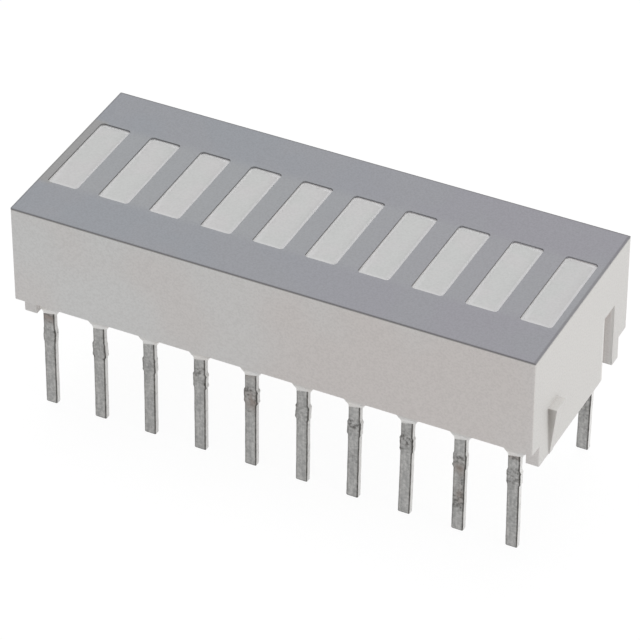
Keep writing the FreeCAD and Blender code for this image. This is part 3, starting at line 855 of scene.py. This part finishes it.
@dataclass
class Leads:
    """Twenty stamped and tinned leads, each a flat section carried up the leg, round the bend and in."""

    wear: dict[int, LeadWear]
    per_row: int = 10
    width: float = 0.58 * MM
    thickness: float = 0.27 * MM
    corner: float = 0.03 * MM
    bend: float = 0.335 * MM
    stub_middle: float = -1.3 * MM
    stub_half: float = 0.465 * MM
    stub_proud: float = 0.075 * MM
    stub_ramp: float = 0.17 * MM
    tip_bevel: float = 0.03 * MM
    pad_proud: float = 0.135 * MM
    pad_lengths: dict[Row, float] = field(default_factory=lambda: {Row.FRONT: 0.55 * MM, Row.REAR: 0.75 * MM})
    leg_step: float = 0.045 * MM
    leg_start: float = 0.05 * MM
    leg_end: float = 0.02 * MM
    bend_stops: int = 8
    pad_step: float = 0.001 * MM
    wobble: float = 0.009 * MM
    leg_top: Span = span(-0.4, 0.0)
    burr_reach: float = 0.06 * MM
    burr_most: float = 0.3
    lean_curve: float = 1.2
    dent: float = 0.09
    seed: int = 11
    shift_part: Span = span(0.4, 1.3)
    shifts: dict[Row, float] = field(default_factory=lambda: {Row.FRONT: -0.14 * MM, Row.REAR: 0.0})

    def route(self, low: Vector, high: Vector, pad: float) -> tuple[np.ndarray, np.ndarray, np.ndarray]:
        """The middle line of a lead from its tip to its inner end, seen from the side.

        The leg is straight, the bend is a quarter circle and the arm is straight. Stops are closer
        together on the leg, whose sides wander, and at the pad's step.

        Args:
            low: The lowest corner of the lead's solid.
            high: The highest corner of the lead's solid.
            pad: The length of the pad at the inner end.

        Returns:
            The distance inwards and the height of each stop, and the angle of the line there.
        """
        top = high.z - self.thickness / 2 - self.bend
        reach = high.y - low.y - self.thickness / 2
        tip = low.z + np.array([0, 0.5, 1]) * self.tip_bevel
        leg = np.arange(tip[-1] + self.leg_start, top - self.leg_end, self.leg_step)
        leg = np.concatenate([tip, leg, [top]])
        turn = np.linspace(0, np.pi / 2, self.bend_stops + 1)[1:]
        arm = np.array([reach - pad - self.pad_step, reach - pad, reach])
        across = np.concatenate([np.zeros(len(leg)), self.bend * (1 - np.cos(turn)), arm])
        up = np.concatenate([leg, top + self.bend * np.sin(turn), np.full(len(arm), top + self.bend)])
        angle = np.concatenate([np.zeros(len(leg)), turn, np.full(len(arm), np.pi / 2)])
        return across, up, angle

    def sheared(self, up: np.ndarray) -> np.ndarray:
        """Where the stubs of the dam bar are: 1 between their ramps and 0 beyond them."""
        return 1 - smooth_step(np.abs(up - self.stub_middle) - self.stub_half, -self.stub_ramp, 0)

    def sides(self, chance: np.random.Generator, up: np.ndarray, wear: LeadWear) -> list[np.ndarray]:
        """Half the lead's width on either side, from its tip to its inner end.

        Half the width is the sheet's own, plus the stub's bulge with a burr at either end, plus a small
        wander, less the bevel at the tip.

        Args:
            chance: The seeded source.
            up: The height of each stop.
            wear: This lead's wear.

        Returns:
            The left and the right half width.
        """
        stub = self.sheared(up)
        leg = 1 - smooth_step(up, *self.leg_top)
        from_burr = np.abs(up - self.stub_middle) - self.stub_half + self.stub_ramp
        burrs = np.exp(-(from_burr / self.burr_reach) ** 2)
        bevel = np.clip(1 - (up - up[0]) / self.tip_bevel, 0, 1) * self.tip_bevel
        halves = []
        for _ in range(2):
            bulge = stub * (0.62 + 0.22 * wander(chance, len(up), 5)) + burrs * chance.uniform(0.0, self.burr_most)
            rough = wander(chance, len(up), 4) * 0.5 + wander(chance, len(up), 13)
            halves.append(self.width / 2 + self.stub_proud * wear.swell * np.clip(bulge, 0, 1)
                          + leg * self.wobble * rough * (0.6 + stub) - bevel)
        return halves

    def build(self, name: str, row: Row) -> bpy.types.Object:
        """One lead.

        At each stop the section is a rounded rectangle, set square to the middle line, so a point is
        line + side * X + depth * (cos a, -sin a), where a is how far the line has turned inwards. Where the
        dam bar was, the faces have shallow dents: a smooth random line up the lead times one across it.

        Args:
            name: The lead's solid.
            row: Which row it stands in.

        Returns:
            The piece.
        """
        low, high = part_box(name)
        wear = self.wear.get(int(name[-2:]), LeadWear())
        chance = np.random.default_rng(self.seed + int(name[-2:]))
        pad = self.pad_lengths[row]
        across, up, angle = self.route(low, high, pad)
        left, right = self.sides(chance, up, wear)
        wider = np.where(np.arange(len(up)) >= len(up) - 2, self.pad_proud, 0)
        half_depth = np.full(len(up), self.thickness / 2)
        section = rounded_outline((left + right) / 2 + wider, half_depth, np.full(len(up), self.corner),
                                  corner=5, flat=8)
        share = section[..., 0] / np.abs(section[..., 0]).max(axis=1, keepdims=True)

        lean = wear.lean * np.clip(-up / abs(low.z), 0, 1) ** self.lean_curve
        lean = lean + self.shifts[row] * (1 - smooth_step(up, *self.shift_part))
        side = section[..., 0] + ((right - left) / 2 + row.value * lean)[:, None]
        lines, columns = wander(chance, len(up), 3), wander(chance, section.shape[1], 4)
        dents = np.abs(lines[:, None] * columns) * self.sheared(up)[:, None] * self.dent * wear.swell
        depth = section[..., 1] * (1 - dents)
        inward = across[:, None] + depth * np.cos(angle)[:, None]
        height = up[:, None] - depth * np.sin(angle)[:, None]
        outer = low.y if row is Row.FRONT else high.y
        points = np.dstack([(low.x + high.x) / 2 + row.value * side,
                            outer + row.value * (self.thickness / 2 + inward), height]).reshape(-1, 3)

        return mesh_object(f"tinned_{name}", points, tube_faces(*section.shape[:2]),
                           self.masks(chance, row.value * share, up, wear))

    def masks(self, chance: np.random.Generator, across: np.ndarray, up: np.ndarray,
              wear: LeadWear) -> dict[str, np.ndarray]:
        """What the material reads: the place across the lead, the scuffs and the stains.

        Args:
            chance: The seeded source.
            across: Each point's place across the lead, from -1 to 1 towards +X.
            up: The height of each section.
            wear: This lead's wear.

        Returns:
            Each mask, one number for each point.
        """
        height = np.repeat(up[:, None], across.shape[1], axis=1)
        spots = [Mark(-1.3 + place, 0.07, 1.3, edge, 0.16)
                 for place, edge in zip(chance.uniform(-0.5, 0.5, 4), (0.85, 0.9, -0.9, 0.8))]
        stub = 1 - smooth_step(np.abs(height - self.stub_middle), 0.4 * MM, 0.55 * MM)
        scuff = 0.3 * stub + sum(mark.cover(across, height) for mark in (*wear.scuffs, *spots))
        if wear.blob:
            bowl = (wear.blob - 0.14 * (1 - across ** 2)) * MM
            scuff = scuff + 1.2 * np.exp(-((height - bowl) / (0.045 * MM)) ** 2)
        stain = sum((mark.cover(across, height) for mark in wear.stains), np.zeros(across.shape))
        return {"across": across.ravel(), "scuff": np.clip(scuff, 0, 1).ravel(),
                "stain": np.clip(stain, 0, 1).ravel()}

    def solids(self) -> list[tuple[str, Row]]:
        """The leads' solids in order, each with its row."""
        return [(f"lead_{number:02d}", Row.FRONT if number <= self.per_row else Row.REAR)
                for number in range(1, 2 * self.per_row + 1)]

    def dress(self) -> list[bpy.types.Object]:
        """Build every lead in place of its solid."""
        finish = TinPlate(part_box("lead_01")[0].z).make()
        pieces = []
        for name, row in self.solids():
            piece = self.build(name, row)
            piece.data.materials.append(finish)
            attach(piece, BODY)
            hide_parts(name)
            pieces.append(piece)
        return pieces


WEAR = {
    1: LeadWear(stains=(Mark(-0.3, 0.28, 1.0),), swell=0.8,
                scuffs=(Mark(-0.16, 0.06, 1.2), Mark(-0.5, 0.07, 1.2), Mark(-0.4, 0.35, 1.2, 0.9, 0.2))),
    2: LeadWear(scuffs=(Mark(-0.6, 0.3, 1.0, 0.9, 0.2),), swell=0.9),
    4: LeadWear(scuffs=(Mark(-0.7, 0.35, 0.7), Mark(-0.9, 0.6, 1.0, 0.9, 0.2))),
    5: LeadWear(stains=(Mark(-1.5, 0.5, 1.0, 0.2, 1.4), Mark(-0.1, 0.25, 0.5)),
                scuffs=(Mark(-1.0, 0.4, 0.7),), swell=1.2, blob=-2.02),
    6: LeadWear(scuffs=(Mark(-1.3, 0.45, 1.2, 0.9, 0.25), Mark(-0.4, 0.2, 0.3)), swell=1.2),
    7: LeadWear(lean=-0.09 * MM, scuffs=(Mark(-1.0, 0.2, 0.9), Mark(-3.0, 0.4, 0.4)), blob=-1.1),
    8: LeadWear(lean=-0.1 * MM, scuffs=(Mark(-1.0, 0.5, 0.9),)),
    9: LeadWear(stains=(Mark(-1.75, 0.4, 1.0, 0.1, 1.0), Mark(-3.2, 0.5, 0.9, 0.2, 0.7)),
                scuffs=(Mark(-1.2, 0.2, 1.1), Mark(-2.6, 0.6, 1.0, 0.5, 0.5), Mark(-3.6, 0.5, 1.0)), blob=-3.75),
    10: LeadWear(lean=0.01 * MM, stains=(Mark(-0.12, 0.14, 0.8),),
                 scuffs=(Mark(-0.22, 0.09, 1.3), Mark(-1.2, 0.6, 0.5), Mark(-3.4, 0.8, 0.3))),
    11: LeadWear(lean=-0.08 * MM, scuffs=(Mark(-2.0, 2.0, 0.6),)),
}


@dataclass
class Fillets:
    """The resin that climbs each lead where it leaves the casting: a concave collar round the lead."""

    leads: Leads
    lower: float = -0.1 * MM
    tilt: float = 0.06 * MM
    level: float = 0.3 * MM
    side_reach: float = 0.29 * MM
    face_reach: float = 0.33 * MM
    wall: float = 0.1 * MM
    lap: float = 0.02 * MM
    proud: float = 0.004 * MM
    rings: int = 10
    rounding: float = 0.5

    def build(self, name: str, row: Row) -> bpy.types.Object:
        """One collar.

        Ring k stands at lower + (level - lower) * sin t and is the lead's outline moved out by
        reach * (1 - cos t), at most to the housing's wall, so it leaves the lead along its face and joins
        the casting's underside. Its lower end tilts with X. The first ring lies inside the lead and the last
        inside the casting, which closes the collar.

        Args:
            name: The lead's solid.
            row: Which row it stands in.

        Returns:
            The piece.
        """
        low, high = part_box(name)
        half = self.leads.thickness / 2
        turn = np.linspace(0, np.pi / 2, self.rings)
        grown = np.concatenate([[0.0], 1 - np.cos(turn), [1.0]])
        rise = np.concatenate([[0.0], np.sin(turn), [1.0 + self.lap / (self.level - self.lower)]])
        proud = np.where(np.arange(len(grown)) == 0, -self.lap, self.proud)
        outline = rounded_outline(self.leads.width / 2 + self.side_reach * grown + proud,
                                  half + np.minimum(self.face_reach * grown + proud, self.wall),
                                  self.leads.corner + self.wall * self.rounding * grown, corner=6, flat=5)
        height = self.lower + (self.level - self.lower) * rise[:, None]
        height = height + self.tilt * (1 - grown[:, None]) * outline[..., 0] / (self.leads.width / 2)
        middle = low.y + half if row is Row.FRONT else high.y - half
        points = np.dstack([outline[..., 0] + (low.x + high.x) / 2 + self.leads.shifts[row],
                            outline[..., 1] + middle, height]).reshape(-1, 3)
        return mesh_object(f"fillet_{name}", points, tube_faces(*outline.shape[:2]),
                           {"rim": np.zeros(len(points))})

    def dress(self, finish: bpy.types.Material) -> list[bpy.types.Object]:
        """Build every collar in the casting's finish."""
        pieces = []
        for name, row in self.leads.solids():
            piece = self.build(name, row)
            piece.data.materials.append(finish)
            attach(piece, BODY)
            pieces.append(piece)
        return pieces


@dataclass
class InnerPieces:
    """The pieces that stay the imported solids: the coat, the casting, the chips and the wires."""

    resin: bpy.types.Material

    def dress(self) -> None:
        """Paint each solid."""
        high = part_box("face_coat")[1]
        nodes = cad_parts
        self.paint(["face_coat"], GreyInk(high.x, high.y, high.z).make())
        self.paint(["epoxy_fill"], self.resin)
        chip = PlainFinish("chip_crystal", colour=(0.55, 0.28, 0.06), other=(0.42, 0.2, 0.05), metallic=0.1,
                           roughness=0.3)
        wire = PlainFinish("gold_wire", colour=(0.9, 0.62, 0.22), other=(0.8, 0.52, 0.17), metallic=1.0,
                           roughness=0.25)
        self.paint([name for name in nodes if name.startswith("chip_")], chip.make())
        self.paint([name for name in nodes if name.startswith("bond_wire_")], wire.make())

    def paint(self, names: list[str], finish: bpy.types.Material) -> None:
        """Give solids a finish.

        Args:
            names: The solids.
            finish: The material.
        """
        for name in names:
            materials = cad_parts[name].data.materials
            materials.clear()
            materials.append(finish)
            LOG.info("%s keeps its solid, in %s", name, finish.name)


# ---- Studio ----


@dataclass
class Studio:
    """A white floor, soft light from all round, and the camera where the photographer stood."""

    azimuth: float = 26.314
    elevation: float = 37.046
    roll: float = 0.038
    focal_pixels: float = 4128.8
    image_pixels: float = 640.0
    centre_pixel: tuple = (319.143, 222.178)
    distance: float = 180.116 * MM
    sensor: float = 36.0
    ambient: float = 0.46
    floor_light: float = 0.9
    floor_white: float = 1.05
    floor_grey: Colour = (0.82, 0.82, 0.82)
    floor_size: float = 3.0
    floor_gap: float = 0.02 * MM

    def camera(self) -> None:
        """Stand the camera where the middle of the display face falls on its pixel."""
        azimuth, tilt, roll = np.radians([self.azimuth, 90 - self.elevation, self.roll])
        turned = Matrix.Rotation(azimuth, 4, "Z") @ Matrix.Rotation(tilt, 4, "X") @ Matrix.Rotation(roll, 4, "Z")
        scale = self.distance / self.focal_pixels
        right, down = ((pixel - self.image_pixels / 2) * scale for pixel in self.centre_pixel)
        face = Matrix.Translation((0, 0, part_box("face_coat")[1].z))
        data = bpy.data.cameras.new("camera")
        data.sensor_width = self.sensor
        data.sensor_fit = "HORIZONTAL"
        data.lens = self.focal_pixels / self.image_pixels * self.sensor
        data.clip_start = 0.005
        data.clip_end = 50.0
        camera = bpy.data.objects.new("camera", data)
        camera.matrix_world = face @ turned @ Matrix.Translation((-right, down, self.distance))
        bpy.context.scene.collection.objects.link(camera)
        bpy.context.scene.camera = camera

    def lamp(self, name: str, place: tuple, size: float, level: float) -> None:
        """A square soft lamp that points at the part.

        Its power is level * pi^2 * distance^2, which lights a white surface square to it to that level.

        Args:
            name: The lamp's name.
            place: Where it hangs, in metres.
            size: Its side.
            level: How bright it makes a white surface.
        """
        data = bpy.data.lights.new(name, "AREA")
        data.size = size
        data.energy = level * np.pi ** 2 * float(np.dot(place, place))
        lamp = bpy.data.objects.new(name, data)
        lamp.matrix_world = Matrix.Translation(place) @ Vector(place).to_track_quat("Z", "Y").to_matrix().to_4x4()
        bpy.context.scene.collection.objects.link(lamp)

    def floor(self) -> None:
        """A wide white floor under the lead tips, which still takes the part's shadow."""
        low, size = CAD_BOX[0][2] - self.floor_gap, self.floor_size
        points = np.array([(-size, -size, low), (size, -size, low), (size, size, low), (-size, size, low)])
        floor = mesh_object("floor", points, [[0, 1, 2, 3]], {})
        tree = Tree("floor_white")
        seen = tree.rays("Glossy", "Transmission")
        matt = tree.node("ShaderNodeBsdfDiffuse", {"Color": (*self.floor_grey, 1)}).outputs[0]
        glow = tree.node("ShaderNodeEmission", {"Color": (1, 1, 1, 1), "Strength": self.floor_white}).outputs[0]
        shown = tree.node("ShaderNodeMixShader", {0: seen * self.floor_light, 1: matt, 2: glow}).outputs[0]
        floor.data.materials.append(tree.close(shown))

    def world(self) -> None:
        """Even light from all round, seen as white."""
        tree = Tree("studio", world=True)
        strength = self.ambient + (1 - self.ambient) * tree.rays("Transmission")
        sky = tree.node("ShaderNodeBackground", {"Strength": strength})
        tree.node("ShaderNodeOutputWorld", {"Surface": sky.outputs[0]})
        bpy.context.scene.world = tree.owner

    def dress(self) -> None:
        """Set up the whole studio."""
        self.camera()
        self.floor()
        self.world()
        self.lamp("overhead", place=(-0.1, 0.15, 0.6), size=0.5, level=0.5)
        self.lamp("right", place=(0.6, -0.05, 0.3), size=0.4, level=0.3)
        bpy.context.scene.view_settings.view_transform = "Standard"


def main() -> None:
    """Build every sub-assembly in order, then the studio."""
    logging.basicConfig(level=logging.INFO, format="%(message)s")
    resin = MilkyCasting("milky_casting", from_screen(245, 244, 242), from_screen(243, 239, 235),
                         roughness=0.25, glow=0.09).make()
    leads = Leads(WEAR)
    for piece in [Housing().dress()] + WindowFaces().dress() + leads.dress() + Fillets(leads).dress(resin):
        LOG.info("%s has %d faces", piece.name, len(piece.data.polygons))
    InnerPieces(resin).dress()
    Studio().dress()


if __name__ == "__main__":
    main()
